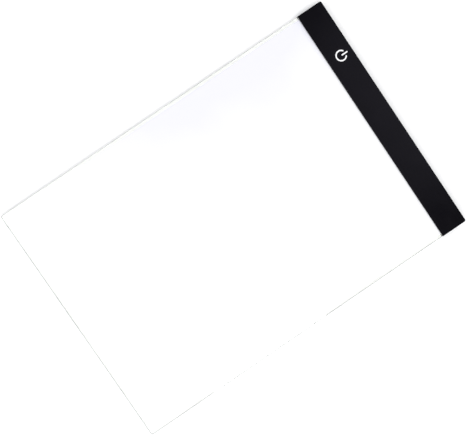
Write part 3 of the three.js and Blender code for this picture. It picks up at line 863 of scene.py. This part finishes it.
def build_socket_insulator():
    """A block at the socket's back, with the tongue that the plug slides round."""
    xs, ys, zs = extent("micro_usb_tongue")
    block_front = xs[1] - BLOCK_LENGTH
    body = slab("socket_insulator", rectangle((block_front, xs[1]), ys, 0.1, 0.1, 4), zs, 0.05, 0.05, 2)
    blade_outline = rectangle((xs[0], block_front + 0.3), (ys[0] + 0.1, ys[1] - 0.1), 0.3, 0.15, 6)
    combine(body, [slab("tool", blade_outline, TONGUE_LEVELS, 0.12, 0.12, 3)], "UNION")
    piece(smooth(body), "chip_black", SOCKET_BLACK, "micro_usb_tongue")


def build_socket_contacts():
    """Five gilded contacts under the tongue, in one piece."""
    xs = extent("micro_usb_tongue")[0]
    centre = middle("micro_usb_tongue").y
    levels = tuple(TONGUE_LEVELS[0] + level for level in CONTACT_LEVELS)
    contacts = []
    for i in range(-2, 3):
        y = centre + CONTACT_PITCH * i
        span = (y - CONTACT_WIDTH / 2, y + CONTACT_WIDTH / 2)
        outline = rectangle((xs[0] + 0.35, xs[1] - BLOCK_LENGTH), span, 0.05, 0.05, 3)
        contacts.append(slab(f"contact_{i}", outline, levels, 0.03, 0.01, 2))
    first, *others = contacts
    combine(first, others, "UNION")
    first.name = "socket_contacts"
    first.data.materials.append(GOLD.material)
    smooth(first)
    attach(first, "root")


# ---------------------------------------------------------------- pieces kept from the CAD


def keep(node, finish, edge=0.03):
    """Show the CAD node with softened edges and its own finish."""
    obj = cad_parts[node]
    obj.data.materials.clear()
    obj.data.materials.append(finish.material)
    obj.modifiers.new("weld", "WELD").merge_threshold = 1e-6
    flatten = obj.modifiers.new("flatten", "DECIMATE")
    flatten.decimate_type = "DISSOLVE"
    flatten.angle_limit = math.radians(1)
    if edge:
        bevel = obj.modifiers.new("edges", "BEVEL")
        bevel.width = edge * MM
        bevel.segments = 2
        bevel.limit_method = "ANGLE"
        bevel.angle_limit = math.radians(35)
        bevel.harden_normals = True


def keep_boards():
    white = circuit(
        "white_solder_mask",
        mask_low=(0.8, 0.8, 0.77),
        mask_high=(0.86, 0.86, 0.83),
        copper_low=(0.7, 0.7, 0.66),
        copper_high=(0.75, 0.74, 0.7),
    )
    keep("led_board", white, 0.05)
    green = circuit(
        "green_solder_mask",
        mask_low=(0.01, 0.11, 0.035),
        mask_high=(0.014, 0.14, 0.045),
        copper_low=(0.035, 0.22, 0.09),
        copper_high=(0.7, 0.7, 0.66),
    )
    keep("control_board", green, 0.05)


def keep_components():
    led_finish = led_white()
    for node in LEDS:
        keep(node, led_finish)
    dark, ceramic, tan = (0.02, 0.02, 0.021), (0.03, 0.032, 0.035), (0.42, 0.29, 0.16)
    for name, node, axis, reach, body, edge in (
        ("touch_controller_chip", "touch_controller", "Y", 1.96, dark, 0.03),
        ("transistor_chip", "led_driver_transistor", "Y", 0.66, dark, 0.02),
        ("resistor_1_chip", "current_resistor_1", "X", 1.02, ceramic, 0.02),
        ("resistor_2_chip", "current_resistor_2", "X", 1.02, ceramic, 0.02),
        ("capacitor_chip", "filter_capacitor", "X", 0.64, tan, 0.02),
    ):
        keep(node, ended(name, node, axis, reach, body), edge)


def keep_tapes_and_wires():
    for node in ("rim_tape", "upper_jaw_tape", "lower_jaw_tape"):
        keep(node, TAPE)
    keep("reflector_film", REFLECTOR)
    keep("touch_spring", NICKEL, 0)
    keep("touch_electrode", COPPER, 0.01)
    red = insulation("red_insulation", (0.55, 0.012, 0.012), (0.42, 0.008, 0.008))
    black = insulation("black_insulation", (0.014, 0.014, 0.015), (0.024, 0.024, 0.026))
    keep("led_wire_positive", red, 0)
    keep("led_wire_negative", black, 0)


# ---------------------------------------------------------------- the scene

add_camera()
add_studio()
add_floor()
build_sheets()
build_top_cover()
build_power_mark()
build_bottom_cover()
build_screws()
build_feet()
build_socket_shell()
build_socket_insulator()
build_socket_contacts()
keep_tapes_and_wires()
keep_boards()
keep_components()
